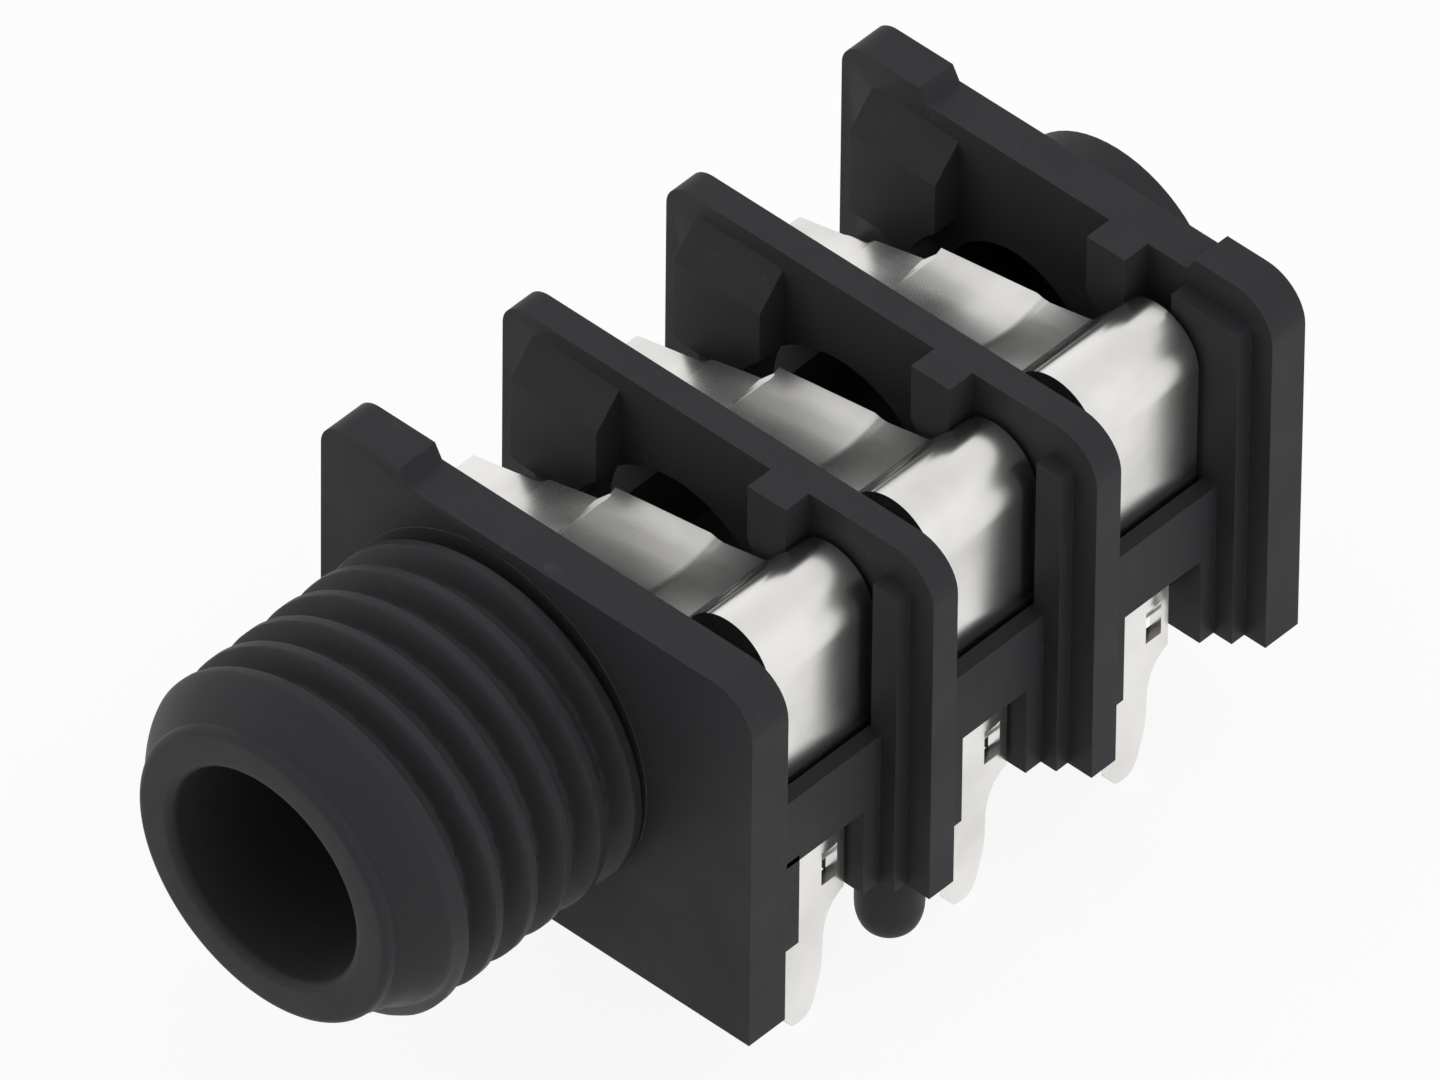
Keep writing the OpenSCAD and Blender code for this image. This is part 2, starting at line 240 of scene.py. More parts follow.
def share_of(value):
    """A value kept between 0 and 1."""
    return min(max(value, 0.0), 1.0)


def ease(value):
    """A value kept between 0 and 1, with a soft start and end."""
    kept = share_of(value)
    return kept * kept * (3 - 2 * kept)


def arc(centre, radius, start, end, steps):
    """Points of an arc between two angles, in a flat section."""
    angles = (start + (end - start) * i / steps for i in range(steps + 1))
    return [Vector((centre[0] + radius * math.cos(a), centre[1] + radius * math.sin(a)))
            for a in angles]


def rounded(points, radius, steps=6):
    """A path with its inner corners replaced by arcs of about the given radius."""
    straight = math.radians(1)
    most = 0.45
    path = [points[0]]
    for before, corner, after in zip(points, points[1:], points[2:]):
        into, out = corner - before, after - corner
        bend = into.angle(out)
        if bend < straight:
            path.append(corner)
            continue
        reach = min(radius * math.tan(bend / 2), into.length * most, out.length * most)
        first, last = corner - into.normalized() * reach, corner + out.normalized() * reach
        for i in range(steps + 1):
            t = i / steps
            path.append(first * (1 - t) ** 2 + corner * (2 * t * (1 - t)) + last * t ** 2)
    return path + [points[-1]]


# Finishes


class Nodes:
    """A short way to place and link shader nodes in one material."""

    def __init__(self, name):
        self.material = bpy.data.materials.new(name)
        self.material.use_nodes = True
        self.tree = self.material.node_tree
        self.shader = self.tree.nodes["Principled BSDF"]

    def add(self, kind, **inputs):
        """A node of a kind, with values or links for its inputs, by name or as i0, i1 and so on."""
        node = self.tree.nodes.new(kind)
        for key, value in inputs.items():
            numbered = key[0] == "i" and key[1:].isdigit()
            self.set(node.inputs[int(key[1:]) if numbered else key], value)
        return node

    def set(self, socket, value):
        """Links an output to a socket, or sets the socket's own value."""
        if isinstance(value, bpy.types.NodeSocket):
            self.tree.links.new(value, socket)
        else:
            socket.default_value = value

    def place(self, scale=(1, 1, 1)):
        """Object coordinates, stretched by a scale."""
        where = self.add("ShaderNodeTexCoord").outputs["Object"]
        return self.add("ShaderNodeMapping", Vector=where, Scale=scale).outputs["Vector"]

    def noise(self, vector, scale, detail=4.0, rough=0.5):
        """Grey noise at a scale in cycles for each metre."""
        node = self.add("ShaderNodeTexNoise", Vector=vector, Scale=scale, Detail=detail,
                        Roughness=rough)
        return node.outputs["Fac"]

    def ramp(self, value, low, high, to_low=0.0, to_high=1.0):
        """A value mapped from one range to another, and kept inside it."""
        node = self.add("ShaderNodeMapRange", Value=value)
        set_range(node, low, high, to_low, to_high)
        return node.outputs["Result"]

    def mix(self, factor, first, second):
        """A mix of two colours, by the sockets that the node keeps for colours."""
        node = self.add("ShaderNodeMix", i0=factor, i6=(*first, 1), i7=(*second, 1))
        node.data_type = "RGBA"
        return node.outputs[2]

    def bump(self, height, strength, distance):
        """Bumps the shader's normal by a height."""
        node = self.add("ShaderNodeBump", Height=height, Strength=strength, Distance=distance)
        self.set(self.shader.inputs["Normal"], node.outputs["Normal"])


def set_range(node, low, high, to_low, to_high):
    """Sets the ranges of a Map Range node."""
    node.inputs["From Min"].default_value = low
    node.inputs["From Max"].default_value = high
    node.inputs["To Min"].default_value = to_low
    node.inputs["To Max"].default_value = to_high


def nylon_material(name, base, worn_and_highlit, wear_and_highlight):
    """Black moulded nylon: a fine grain, a soft mottle and pale scuff marks; where the pale share
    is raised, as on the rounded edges, the pale also paints a highlight.
    """
    made = Nodes(name)
    place = made.place()
    grain = made.noise(place, scale=9000, detail=6, rough=0.65)
    mottle = made.noise(place, scale=420, detail=3)
    marks = made.noise(place, scale=1500, detail=5, rough=0.7)
    # Pale marks from noise are scuffs on the faces. Where their share is raised on the rounded
    # edges, they also paint a highlight along them.
    rub_and_highlight = made.ramp(marks, low=0.62 - wear_and_highlight, high=0.80 - wear_and_highlight)
    sheen = made.ramp(mottle, low=0.3, high=0.7, to_low=0.46, to_high=0.58)
    made.set(made.shader.inputs["Base Color"], made.mix(rub_and_highlight, base, worn_and_highlit))
    made.set(made.shader.inputs["Roughness"], sheen)
    made.shader.inputs["Specular IOR Level"].default_value = 0.12
    made.bump(grain, strength=0.2, distance=0.02 * MM)
    return made.material


def tin_material(name, bright, dull):
    """Bright tin plate on rolled strip: faint rolling streaks and a cloudy sheen."""
    made = Nodes(name)
    along_strip = made.place(scale=(0.4, 2, 0.4))
    streaks = made.noise(along_strip, scale=500, detail=2, rough=0.4)
    cloud = made.noise(made.place(), scale=320, detail=3)
    handled = made.ramp(cloud, low=0.45, high=0.75)
    sheen = made.ramp(cloud, low=0.3, high=0.7, to_low=0.20, to_high=0.28)
    made.set(made.shader.inputs["Base Color"], made.mix(handled, bright, dull))
    made.set(made.shader.inputs["Roughness"], sheen)
    made.shader.inputs["Metallic"].default_value = 1.0
    made.bump(streaks, strength=0.03, distance=0.01 * MM)
    return made.material


# Housing


# The nose ends just behind the front of the flange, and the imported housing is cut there.
NOSE_BACK = -0.02 * MM

# Rows of faces along the nose's land and along its thread.
LAND_ROWS = 10
THREAD_ROWS = 150

# The flat root and crest of the thread's groove, as shares of half a pitch, and the share of its
# flank that is straight.
ROOT_SHARE = 0.15
CREST_SHARE = 0.22
STRAIGHT_SHARE = 0.6

# Where the first turn cuts into the land: the length of its flank, the angle to the left of the top
# at which the cut sets in, and the angle over which it does so.
RUN_IN_FLANK = 0.5 * MM
RUN_IN_FROM = math.radians(108)
RUN_IN_OVER = math.radians(60)

# Height of a peg's root above its mount, the room round the peg in which its faces are looked for,
# and the rings of faces on its round end.
PEG_ROOT = 0.7 * MM
PEG_ROOM = 1.02
PEG_RINGS = 8

# Where the ends of the guide feet are looked for: to the right of an X, between two heights, and
# with a normal that points to the rear.
FEET_RIGHT_OF = 5.0 * MM
FEET_TOP = -2.5 * MM
FEET_BOTTOM = -6.1 * MM
FACES_REAR = 0.9

# Y inside the front flange, from which its guide foot starts.
FLANGE_INSIDE = 1.2 * MM


def nose_profile(sizes, front, bore, crest):
    """Closed section of the nose, as radius and Y: bore, lip, ring, land and thread."""
    lip, ring = sizes.lip_round, sizes.ring_round
    points = [Vector((bore, y)) for y in (NOSE_BACK, front * 0.5, front + lip)]
    points += arc((bore + lip, front + lip), lip, math.pi, math.pi * 1.5, steps=8)[1:]
    points += arc((sizes.ring_radius - ring, front + ring), ring, -math.pi / 2, 0, steps=7)
    start = Vector((sizes.ring_radius, front + sizes.ring_length))
    end = Vector((crest, front + sizes.land_length))
    points.append(start)
    for i in range(1, LAND_ROWS + 1):
        share = i / LAND_ROWS
        swell = (share + math.sin(share * math.pi / 2)) / 2
        points.append(Vector((start.x + (end.x - start.x) * swell,
                              start.y + (end.y - start.y) * share)))
    points += [Vector((crest, end.y + (NOSE_BACK - end.y) * i / THREAD_ROWS))
               for i in range(1, THREAD_ROWS + 1)]
    return points


def thread_groove(y, angle, sizes, land_end):
    """Depth of the thread's groove, by Y and by the angle from the top to the right."""
    turns = y / sizes.pitch - angle / math.tau
    groove = round(turns)
    off = abs(turns - groove) * 2
    flank = share_of((off - ROOT_SHARE) / (1 - CREST_SHARE - ROOT_SHARE))
    first = math.ceil(land_end / sizes.pitch)
    along = angle + math.tau * (groove - first)
    shape = 1 - (STRAIGHT_SHARE * flank + (1 - STRAIGHT_SHARE) * ease(flank))
    return sizes.depth * shape * ease((along + sizes.run_start) / sizes.run_in)


def run_in_cut(y, angle, radius, sizes, land_end, crest):
    """Depth by which the thread's first turn cuts the land away on the underside."""
    along = angle - math.tau if angle > math.pi / 2 else angle
    middle = sizes.pitch * (math.ceil(land_end / sizes.pitch) + along / math.tau)
    if y > middle:
        return 0.0
    share = ease((along + sizes.run_start) / sizes.run_in)
    share *= ease((-along - RUN_IN_FROM) / RUN_IN_OVER)
    root = crest - sizes.depth
    rise = ease(1 + (y - middle) / RUN_IN_FLANK)
    level = sizes.ring_radius + (root - sizes.ring_radius) * rise
    return share * max(radius - level, 0.0)


def nose_shell(sizes):
    """The nose as a closed ring with a moulded thread."""
    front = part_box("housing")[0][1]
    bore = MOUNTS["plug_bore"]["dims"]["r_mm"] * MM
    crest = MOUNTS["nose_thread"]["dims"]["r_mm"] * MM
    land_end = front + sizes.land_length
    bm = bmesh.new()
    verts = [bm.verts.new((p.x, p.y, 0)) for p in nose_profile(sizes, front, bore, crest)]
    edges = [bm.edges.new(pair) for pair in zip(verts, verts[1:] + verts[:1])]
    bmesh.ops.spin(bm, geom=verts + edges, cent=(0, 0, 0), axis=(0, 1, 0), angle=math.tau,
                   steps=sizes.segments, use_merge=True)
    for vert in bm.verts:
        radius = math.hypot(vert.co.x, vert.co.z)
        if radius < sizes.ring_radius + SAME_PLACE:
            continue
        angle = math.atan2(vert.co.x, vert.co.z)
        cut = run_in_cut(vert.co.y, angle, radius, sizes, land_end, crest)
        if vert.co.y > land_end:
            cut = max(cut, thread_groove(vert.co.y, angle, sizes, land_end))
        vert.co.x *= 1 - cut / radius
        vert.co.z *= 1 - cut / radius
    bmesh.ops.recalc_face_normals(bm, faces=bm.faces)
    return bm


def moulding_mesh(sizes):
    """The moulding behind the nose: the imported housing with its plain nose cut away."""
    flat = math.radians(0.5)
    bm = bmesh.new()
    bm.from_mesh(frame["nodes"]["housing"].data)
    bmesh.ops.remove_doubles(bm, verts=bm.verts, dist=SAME_PLACE)
    cut = bmesh.ops.bisect_plane(bm, geom=[*bm.verts, *bm.edges, *bm.faces], dist=ON_PLANE,
                                 plane_co=(0, NOSE_BACK, 0), plane_no=(0, -1, 0), clear_outer=True)
    bmesh.ops.bridge_loops(bm, edges=cut_rim(cut))
    bmesh.ops.dissolve_limit(bm, angle_limit=flat, verts=bm.verts, edges=bm.edges)
    for name in ("board_peg_right", "board_peg_left"):
        round_peg(bm, MOUNTS[name], sizes)
    guide_feet(bm, sizes)
    bmesh.ops.recalc_face_normals(bm, faces=bm.faces)
    return bm


def round_peg(bm, mount, sizes):
    """Cuts the end off a board peg, and draws a round end of the same length out of the cut."""
    middle = Vector(mount["pos_m"])
    radius = mount["dims"]["r_mm"] * MM

    def on_peg(point):
        near = (point.xy - middle.xy).length < radius * PEG_ROOM
        return near and point.z < middle.z + PEG_ROOT

    peg = [f for f in bm.faces if all(on_peg(v.co) for v in f.verts)]
    edges = {e for face in peg for e in face.edges}
    verts = {v for face in peg for v in face.verts}
    tip = min(v.co.z for v in verts)
    cut = bmesh.ops.bisect_plane(bm, geom=[*verts, *edges, *peg], dist=ON_PLANE, clear_outer=True,
                                 plane_co=(0, 0, tip + sizes.peg_dome), plane_no=(0, 0, -1))
    end = bmesh.ops.edgeloop_fill(bm, edges=cut_rim(cut))["faces"][0]
    from_axis = Matrix.Translation((-middle.x, -middle.y, 0))
    reach = radius
    for i in range(1, PEG_RINGS + 1):
        turned = math.pi / 2 * i / PEG_RINGS
        wide = sizes.peg_flat + (radius - sizes.peg_flat) * math.cos(turned)
        end = bmesh.ops.extrude_discrete_faces(bm, faces=[end])["faces"][0]
        bmesh.ops.scale(bm, verts=end.verts, vec=(wide / reach, wide / reach, 1), space=from_axis)
        reach = wide
        for vert in end.verts:
            vert.co.z = tip + sizes.peg_dome * (1 - math.sin(turned))


def guide_feet(bm, sizes):
    """Lengthens the feet behind the partitions, and adds the one behind the front flange."""

    def is_foot_end(face):
        heights = [v.co.z for v in face.verts]
        inside = max(heights) < FEET_TOP and min(heights) > FEET_BOTTOM
        right = face.calc_center_bounds().x > FEET_RIGHT_OF
        return inside and right and face.normal.y > FACES_REAR

    feet = [face for face in bm.faces if is_foot_end(face)]
    low = Vector(min(v.co[i] for v in feet[0].verts) for i in range(3))
    high = Vector(max(v.co[i] for v in feet[0].verts) for i in range(3))
    gap = contact_y("ring") - sizes.foot_gap - high.y
    for foot in feet:
        bmesh.ops.translate(bm, verts=foot.verts, vec=(0, gap, 0))
    start = Vector((low.x, FLANGE_INSIDE, low.z))
    end = Vector((high.x, contact_y("sleeve") - sizes.foot_gap, high.z))
    made = bmesh.ops.create_cube(bm, size=1.0)["verts"]
    bmesh.ops.scale(bm, verts=made, vec=end - start)
    bmesh.ops.translate(bm, verts=made, vec=(start + end) / 2)


class JACK_OT_housing(bpy.types.Operator):
    """Builds the black moulded housing with its threaded nose"""

    bl_idname = "jack.housing"
    bl_label = "Housing"

    def execute(self, context):
        sizes = context.scene.jack_housing
        colours = context.scene.jack_colours
        smooth = nylon_material("black_nylon", colours.nylon, colours.nylon_scuffed_and_highlit, wear_and_highlight=0.0)
        # The edges' nylon has more pale: scuffing, and a painted highlight along the rounded edges.
        rubbed_and_highlit = nylon_material("rubbed_and_highlit_nylon", colours.nylon, colours.nylon_scuffed_and_highlit, wear_and_highlight=0.16)

        sharp = 25
        body = moulding_mesh(sizes)
        shade_by_angle(body, sharp)
        walls = new_piece("housing_walls", body, (smooth, rubbed_and_highlit))
        soften = round_edges(walls, sizes.edge_round, sharp)
        # The rounded edges take the paler second finish, which is a painted highlight as well as
        # scuffing.
        soften.material = 1
        soften.miter_outer = "MITER_ARC"
        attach(walls, "housing")
        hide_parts("housing")

        nose = nose_shell(sizes)
        shade_by_angle(nose, degrees=40)
        threaded = new_piece("threaded_nose", nose, (smooth,))
        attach(threaded, "housing")
        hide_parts("housing")
        return {"FINISHED"}


# Contact strips


# A row of a strip: X, Z, front edge, rear edge, and the rise of its edges above its middle.
Row = namedtuple("Row", "x z front rear rise", defaults=(0.0,))

# A stretch of an arm: its left end, the length of the step there, and its front and rear widths.
Band = namedtuple("Band", "left step front rear")

# Outline of a solder tail from its tip up, in millimetres: height above the board, and the front
# and rear edges.
TAIL_OUTLINE = (
    (-3.80, -0.45, -0.20), (-3.74, -0.65, -0.03), (-3.60, -0.85, 0.10), (-3.35, -1.01, 0.23),
    (-3.00, -1.07, 0.33), (-2.70, -1.05, 0.43), (-2.40, -0.95, 0.50), (-2.00, -0.77, 0.54),
    (-1.60, -0.64, 0.55), (-1.20, -0.59, 0.56), (-0.90, -0.58, 0.61), (-0.60, -0.58, 0.71),
    (-0.30, -0.59, 0.90), (-0.10, -0.60, 1.15), (0.00, -0.62, 1.35))

# Places of a strip's lengthwise lines, as shares of its width. The window lies between two of them.
STRIP_LINES = (0.0, 0.15, 0.3, 0.42, 0.5, 0.581, 0.724, 0.867, 1.0)
WINDOW_LINES = (0.581, 0.867)
WINDOW_ROWS = 4

# Lengths of the steps in a strip's width: from shank to leg, along the arm, and into the neck.
LEG_STEP = 0.06 * MM
SHARP_STEP = 0.1 * MM
SOFT_STEP = 0.6 * MM

# Heights above the board from which a shank and a break contact have their full width.
SHANK_FOOT = 0.12 * MM
BREAK_FOOT = 0.06 * MM

# Heights of the rows in a leg, as shares of the way from the axis down to the shank, and from the
# axis up to the roll.
LEG_SHARES = (0.66, 0.33, 0.0)
RISE_SHARES = (0.3, 0.6, 0.85)

# The dish of an arm sets in over a length before the zone, and in the tongue a share of it runs out
# at a distance to the left of the axis.
DISH_LEAD = 1.2 * MM
DISH_END = 3.0 * MM
DISH_LEFT = 0.36

# How far the lance leans inwards, as a share of its length.
LANCE_LEAN = 0.45

# The end of a break contact stops short of its box by this share of its thickness.
BREAK_SHORT = 0.1


def tail_rows(x, y, board, sizes, front, rear):
    """Rows of a solder tail from its round tip to the board, kept between two edges."""
    stretch = sizes.tail_length / (-TAIL_OUTLINE[0][0] * MM)
    return [Row(x, board + height * MM * stretch, max(y + near * MM, front),
                min(y + far * MM, rear))
            for height, near, far in TAIL_OUTLINE]


def strip_sheet(rows):
    """A grid laid through the rows of a strip."""
    bm = bmesh.new()
    lines = len(STRIP_LINES)
    bmesh.ops.create_grid(bm, x_segments=lines - 1, y_segments=len(rows) - 1, size=1.0)
    in_rows = sorted(bm.verts, key=lambda v: (round(v.co.y, 5), v.co.x))
    for i, vert in enumerate(in_rows):
        row, share = rows[i // lines], STRIP_LINES[i % lines]
        vert.co = (row.x, row.front + (row.rear - row.front) * share,
                   row.z + row.rise * (2 * share - 1) ** 2)
    bmesh.ops.recalc_face_normals(bm, faces=bm.faces)
    return bm


def punch_window(bm, low, high, front, rear, sizes):
    """Punches a window in a shank, and bends a lance inwards from the window's top."""
    near, far = (front + (rear - front) * share for share in WINDOW_LINES)

    def inside(point):
        return near < point.y < far and low < point.z < high

    def on_top(edge):
        middle = (edge.verts[0].co.y + edge.verts[1].co.y) / 2
        return near < middle < far and all(abs(v.co.z - high) < SAME_PLACE for v in edge.verts)

    holes = [face for face in bm.faces if inside(face.calc_center_median())]
    bmesh.ops.delete(bm, geom=holes, context="FACES")
    bent = bmesh.ops.extrude_edge_only(bm, edges=[edge for edge in bm.edges if on_top(edge)])
    ends = [v for v in bent["geom"] if isinstance(v, bmesh.types.BMVert)]
    length = sizes.lance_length
    bmesh.ops.translate(bm, verts=ends, vec=(-length * LANCE_LEAN, 0, -length))
    bmesh.ops.recalc_face_normals(bm, faces=bm.faces)


def strip_piece(name, bm, thickness, sizes, material):
    """Turns the middle sheet of a strip into a piece of sheet metal with rounded edges."""
    for face in bm.faces:
        face.smooth = True
    piece = new_piece(name, bm, (material,))
    wall = piece.modifiers.new("thickness", "SOLIDIFY")
    wall.thickness = thickness
    wall.offset = 0.0
    round_edges(piece, sizes.edge_round, degrees=40)
    return piece


def split_at(path, bands):
    """A path of falling X with more points across the step at each band's left end."""
    across = (-0.5, -0.25, 0, 0.25, 0.5)
    edges = sorted((band.left + band.step * share for band in bands for share in across),
                   reverse=True)
    out = [path[0]]
    for before, after in zip(path, path[1:]):
        for edge in edges:
            if after.x < edge < before.x:
                out.append(before.lerp(after, (before.x - edge) / (before.x - after.x)))
        out.append(after)
    return out


def widths_at(x, bands):
    """Front and rear width of an arm at an X."""
    front, rear = bands[0].front, bands[0].rear
    for band, after in zip(bands, bands[1:]):
        share = share_of((band.left + band.step / 2 - x) / band.step)
        front += (after.front - front) * share
        rear += (after.rear - rear) * share
    return front, rear


def leg_place(contact):
    """X of the middle of a spring's leg, and half the leg's width."""
    low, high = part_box(f"{contact}_spring_leg")
    return (low[0] + high[0]) / 2, (high[1] - low[1]) / 2


def leg_rows(contact, sizes):
    """Rows of a spring's tail, shank and wide leg up to the plug's axis."""
    x, half = leg_place(contact)
    y = contact_y(contact)
    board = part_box(f"{contact}_spring_leg")[0][2] + sizes.tail_length
    front, rear = y - sizes.shank_front, y + sizes.shank_rear
    rows = tail_rows(x, y - sizes.tail_lead, board, sizes, front, rear)
    rows.append(Row(x, board + SHANK_FOOT, front, rear))
    window = board + sizes.window_rise
    rows += [Row(x, window + sizes.window_height * i / WINDOW_ROWS, front, rear)
             for i in range(WINDOW_ROWS + 1)]
    top = board + sizes.shank_height
    rows.append(Row(x, top - LEG_STEP / 2, front, rear))
    rows.append(Row(x, top + LEG_STEP / 2, y - half, y + half))
    rows += [Row(x, top * share, y - half, y + half) for share in LEG_SHARES]
    return rows


def arm_path(contact, sizes, thickness):
    """Middle line of a spring's roll, neck, zone and tongue, as X and Z."""
    arm_low, arm_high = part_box(f"{contact}_spring_arm")
    x = leg_place(contact)[0]
    roll_z = arm_high[2] - sizes.roll_radius
    roll_mid = sizes.roll_radius - thickness / 2
    centre = Vector((x - roll_mid, roll_z))
    wrap = sizes.roll_wrap
    outwards = Vector((math.cos(wrap), math.sin(wrap)))
    reverse = centre + (roll_mid + sizes.reverse_radius) * outwards
    rise = math.tan(sizes.zone_slope)
    zone_start = Vector((sizes.zone_right, sizes.zone_height + sizes.zone_right * rise))
    zone_end = Vector((-sizes.zone_left, sizes.zone_height - sizes.zone_left * rise))
    reach = arm_low[0]
    drop = (reach + sizes.zone_left) * math.tan(sizes.tongue_slope)
    tongue_end = Vector((reach, zone_end.y + drop))
    neck = zone_start - reverse
    leave = math.atan2(neck.y, neck.x) + math.acos(sizes.reverse_radius / neck.length)
    path = [Vector((x, roll_z * share)) for share in RISE_SHARES]
    path += arc(centre, roll_mid, 0, wrap, steps=30)
    path += arc(reverse, sizes.reverse_radius, wrap - math.pi, leave, steps=10)[1:]
    path += rounded([path[-1], zone_start, zone_end, tongue_end], sizes.arm_bend, steps=10)[1:]
    return path


def arm_dish(x, sizes):
    """Share of the zone's dish that an arm has at an X."""
    if x < -sizes.zone_left:
        return DISH_LEFT * ease((x + DISH_END) / (DISH_END - sizes.zone_left))
    return ease((sizes.zone_right + DISH_LEAD - x) / DISH_LEAD)


def arm_rows(contact, sizes, thickness):
    """Rows of a spring's roll, neck, dished zone and tongue."""
    x, wide = leg_place(contact)
    y = contact_y(contact)
    narrow, tongue = sizes.tongue_front, sizes.tongue_width / 2
    bands = (Band(x - sizes.roll_span, SHARP_STEP, wide, wide),
             Band(sizes.zone_right, SOFT_STEP, wide, sizes.neck_width / 2),
             Band(-sizes.zone_left, SHARP_STEP, wide, sizes.zone_width / 2),
             Band(-sizes.tongue_step, SHARP_STEP, narrow, tongue),
             Band(-math.inf, SHARP_STEP, narrow, tongue - sizes.tongue_cut))
    rows = []
    for point in split_at(arm_path(contact, sizes, thickness), bands[:-1]):
        front, rear = widths_at(point.x, bands)
        rise = sizes.zone_dish * arm_dish(point.x, sizes)
        rows.append(Row(point.x, point.y, y - front, y + rear, rise))
    return rows


class JACK_OT_springs(bpy.types.Operator):
    """Bends the contact springs, each one strip from its tail to its tongue"""

    bl_idname = "jack.springs"
    bl_label = "Contact springs"

    def execute(self, context):
        sizes = context.scene.jack_springs
        colours = context.scene.jack_colours
        tin = tin_material("tin_plate", colours.tin, colours.tin_dull)
        for contact in CONTACTS:
            low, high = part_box(f"{contact}_spring_leg")
            thickness = high[0] - low[0]
            y = contact_y(contact)
            sheet = strip_sheet(leg_rows(contact, sizes) + arm_rows(contact, sizes, thickness))
            window = low[2] + sizes.tail_length + sizes.window_rise
            punch_window(sheet, window, window + sizes.window_height, y - sizes.shank_front,
                         y + sizes.shank_rear, sizes)
            spring = strip_piece(f"{contact}_spring", sheet, thickness, sizes, tin)
            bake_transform(spring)
            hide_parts(f"{contact}_spring_leg", f"{contact}_spring_arm")
        return {"FINISHED"}


class JACK_OT_break_contacts(bpy.types.Operator):
    """Bends the break contacts that wait under the springs' tongues"""

    bl_idname = "jack.break_contacts"
    bl_label = "Break contacts"

    def execute(self, context):
        sizes = context.scene.jack_springs
        colours = context.scene.jack_colours
        tin = tin_material("tin_plate_dull", colours.tin_dull, colours.tin)
        thickness = sizes.break_thickness
        for contact in CONTACTS:
            low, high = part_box(f"{contact}_break_contact")
            x = low[0] + thickness / 2
            y = contact_y(contact)
            board = low[2] + sizes.tail_length
            half = (high[1] - low[1]) / 2
            end = Vector((high[0] - thickness * BREAK_SHORT, high[2] - thickness / 2))
            bend = Vector((x, end.y - (end.x - x) * math.tan(sizes.tongue_slope)))
            path = rounded([Vector((x, board + BREAK_FOOT)), bend, end], sizes.break_bend)
            rows = tail_rows(x, y, board, sizes, y - half, y + half)
            rows += [Row(p.x, p.y, y - half, y + half) for p in path]
            piece = strip_piece(f"{contact}_break_strip", strip_sheet(rows), thickness, sizes, tin)
            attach(piece, "housing")
            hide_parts(f"{contact}_break_contact")
        return {"FINISHED"}


# Stage


# The studio's lamps: name, place from the aim, width of the square, and power.
LAMPS = (
    ("top_light", (0.06, 0.16, 0.29), 0.5, 0.5),
    ("right_light", (0.24, 0.06, 0.10), 0.34, 0.22),
    ("left_light", (-0.20, -0.12, 0.12), 0.34, 0.30),
)

# The share of plain white in the studio floor where it is seen.
PAPER_GLOW = 0.9

# Brightness of the studio's walls and ceiling where they are seen, between two heights of the view,
# and the strength with which they light the socket.
WALL_HEIGHT, CEILING_HEIGHT = 0.5, 1.0
WALL_SHADE, CEILING_SHADE = 1.0, 0.8
STUDIO_LIGHT = 0.45


def soft_box(name, place, aim, width, power):
    """A square studio lamp that faces a point, and that reflections leave out."""
    lamp = bpy.data.lights.new(name, "AREA")
    lamp.shape = "RECTANGLE"
    lamp.size = width
    lamp.size_y = width
    lamp.energy = power
    holder = bpy.data.objects.new(name, lamp)
    holder.location = place
    holder.rotation_euler = (aim - place).to_track_quat("-Z", "Y").to_euler()
    holder.visible_glossy = False
    bpy.context.scene.collection.objects.link(holder)


def seen_rays(tree):
    """One for the rays that see the studio, in the picture or in a reflection, and else none."""
    rays = tree.nodes.new("ShaderNodeLightPath")
    seen = rays.outputs["Is Camera Ray"]
    for kind in ("Is Glossy Ray", "Is Transmission Ray"):
        most = tree.nodes.new("ShaderNodeMath")
        most.operation = "MAXIMUM"
        tree.links.new(seen, most.inputs[0])
        tree.links.new(rays.outputs[kind], most.inputs[1])
        seen = most.outputs["Value"]
    return seen


def paper_material(shade):
    """White studio paper that keeps a soft shadow."""
    made = Nodes("studio_paper")
    made.set(made.shader.inputs["Base Color"], (*shade, 1))
    made.shader.inputs["Roughness"].default_value = 0.9
    glow = made.add("ShaderNodeEmission", Color=(1, 1, 1, 1), Strength=1.0)
    share = made.add("ShaderNodeMath", i0=seen_rays(made.tree), i1=PAPER_GLOW)
    share.operation = "MULTIPLY"
    both = made.add("ShaderNodeMixShader", i0=share.outputs["Value"],
                    i1=made.shader.outputs["BSDF"], i2=glow.outputs["Emission"])
    made.set(made.tree.nodes["Material Output"].inputs["Surface"], both.outputs["Shader"])
    return made.material


def studio_world():
    """A pale studio round the socket, a little darker overhead."""
    world = bpy.data.worlds.new("studio")
    world.use_nodes = True
    tree = world.node_tree
    sky = tree.nodes["Background"]
    view = tree.nodes.new("ShaderNodeTexCoord")
    where = tree.nodes.new("ShaderNodeSeparateXYZ")
    tree.links.new(view.outputs["Generated"], where.inputs["Vector"])
    shade = tree.nodes.new("ShaderNodeMapRange")
    set_range(shade, WALL_HEIGHT, CEILING_HEIGHT, WALL_SHADE, CEILING_SHADE)
    tree.links.new(where.outputs["Z"], shade.inputs["Value"])
    tree.links.new(shade.outputs["Result"], sky.inputs["Color"])
    level = tree.nodes.new("ShaderNodeMapRange")
    set_range(level, 0.0, 1.0, STUDIO_LIGHT, 1.0)
    tree.links.new(seen_rays(tree), level.inputs["Value"])
    tree.links.new(level.outputs["Result"], sky.inputs["Strength"])
    return world


def camera_turn(stage):
    """Turn of the camera, and the direction from the socket to it."""
    az, el = stage.azimuth, stage.elevation
    right = Vector((math.cos(az), math.sin(az), 0))
    back = Vector((math.cos(el) * math.sin(az), -math.cos(el) * math.cos(az), math.sin(el)))
    up = back.cross(right)
    turned = Matrix.Rotation(stage.roll, 3, back)
    right, up = turned @ right, turned @ up
    return Matrix((right, up, back)).transposed(), back


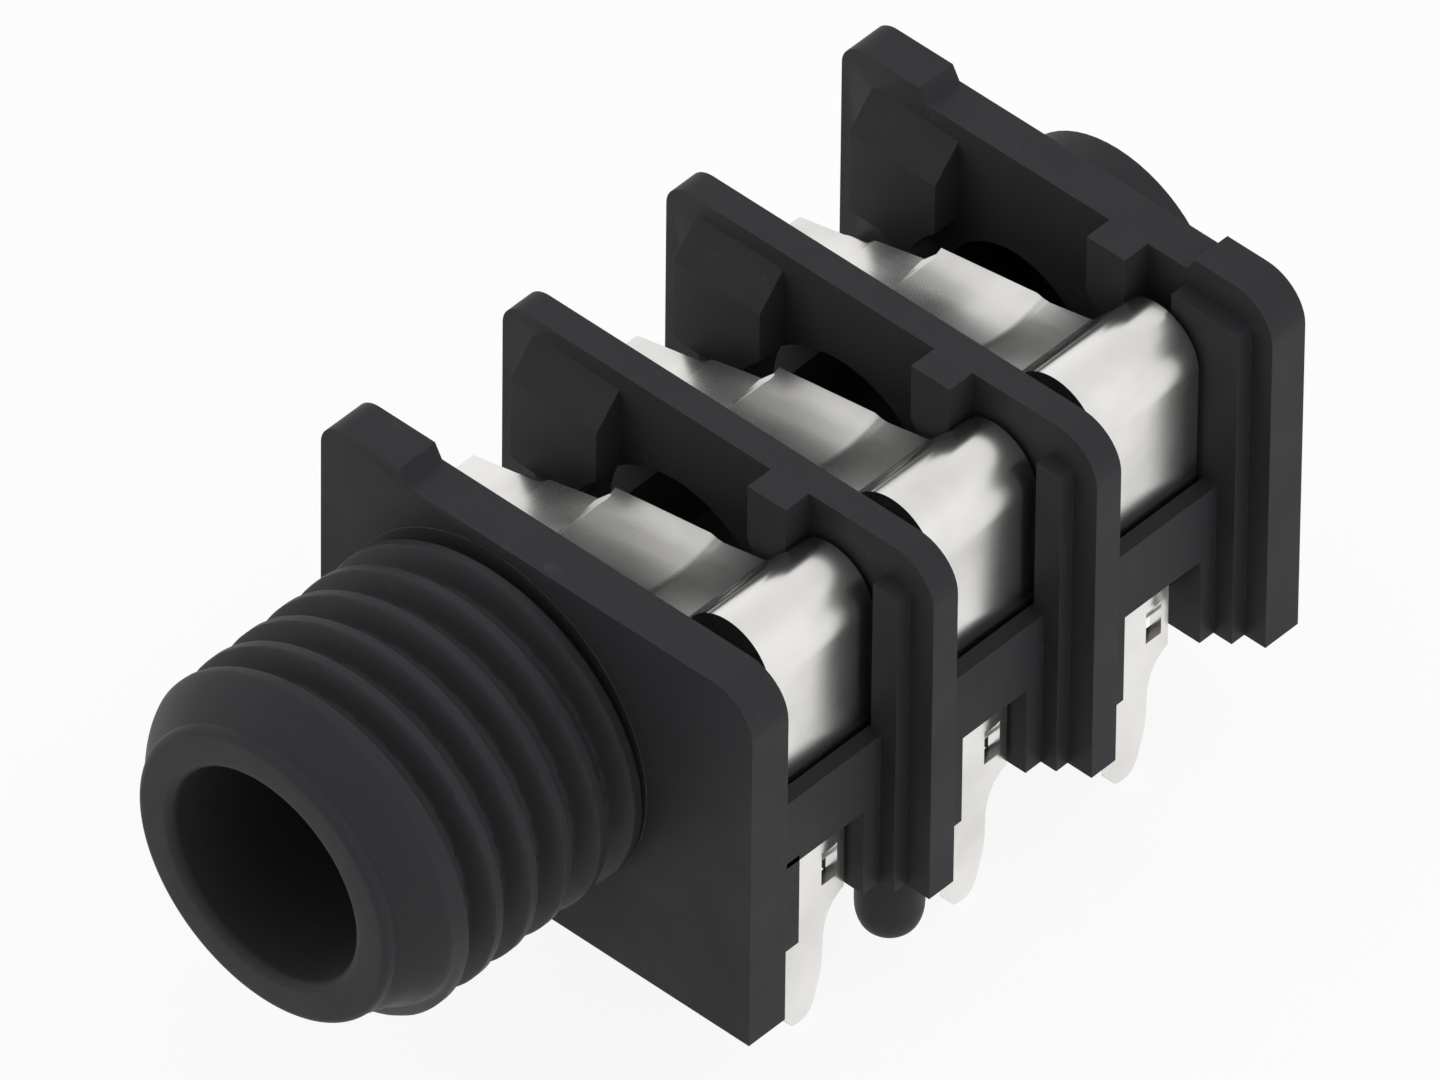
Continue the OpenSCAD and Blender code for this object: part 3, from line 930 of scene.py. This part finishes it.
def studio_camera(stage, aim):
    """A camera that looks at the aim."""
    lens = bpy.data.cameras.new("camera")
    lens.sensor_width = 36
    lens.lens = stage.lens
    lens.clip_start = 0.01
    lens.clip_end = 10
    camera = bpy.data.objects.new("camera", lens)
    turned, back = camera_turn(stage)
    camera.matrix_world = Matrix.Translation(aim + back * stage.distance) @ turned.to_4x4()
    bpy.context.scene.collection.objects.link(camera)
    return camera


class JACK_OT_stage(bpy.types.Operator):
    """Sets up the floor, the soft studio light and the camera"""

    bl_idname = "jack.stage"
    bl_label = "Stage"

    def execute(self, context):
        scene = context.scene
        stage = scene.jack_stage
        aim = Vector(stage.aim)

        bm = bmesh.new()
        bmesh.ops.create_grid(bm, x_segments=2, y_segments=2, size=stage.floor_reach)
        bmesh.ops.translate(bm, verts=bm.verts, vec=(0, 0, CAD_BOX[0][2]))
        paper = paper_material(scene.jack_colours.floor)
        new_piece("studio_floor", bm, (paper,))

        for name, place, width, power in LAMPS:
            soft_box(name, aim + Vector(place), aim, width, power)
        scene.world = studio_world()
        scene.camera = studio_camera(stage, aim)
        scene.view_settings.view_transform = "Standard"
        return {"FINISHED"}


class JACK_PT_socket(bpy.types.Panel):
    """Lists the steps that build the socket"""

    bl_idname = "JACK_PT_socket"
    bl_label = "Jack socket"
    bl_space_type = "VIEW_3D"
    bl_region_type = "UI"
    bl_category = "Jack socket"

    def draw(self, context):
        for operator in OPERATORS:
            self.layout.operator(operator.bl_idname)


OPERATORS = (JACK_OT_housing, JACK_OT_springs, JACK_OT_break_contacts, JACK_OT_stage)
GROUPS = {"jack_housing": HousingSizes, "jack_springs": SpringSizes,
          "jack_colours": FinishColours, "jack_stage": StageSizes}
CLASSES = (*GROUPS.values(), *OPERATORS, JACK_PT_socket)


def register():
    for made in CLASSES:
        bpy.utils.register_class(made)
    for name, group in GROUPS.items():
        setattr(bpy.types.Scene, name, PointerProperty(type=group))


def unregister():
    for name in GROUPS:
        delattr(bpy.types.Scene, name)
    for made in reversed(CLASSES):
        bpy.utils.unregister_class(made)


def main():
    """Builds every piece and the stage."""
    register()
    bpy.ops.jack.housing()
    bpy.ops.jack.springs()
    bpy.ops.jack.break_contacts()
    bpy.ops.jack.stage()


if __name__ == "__main__":
    main()
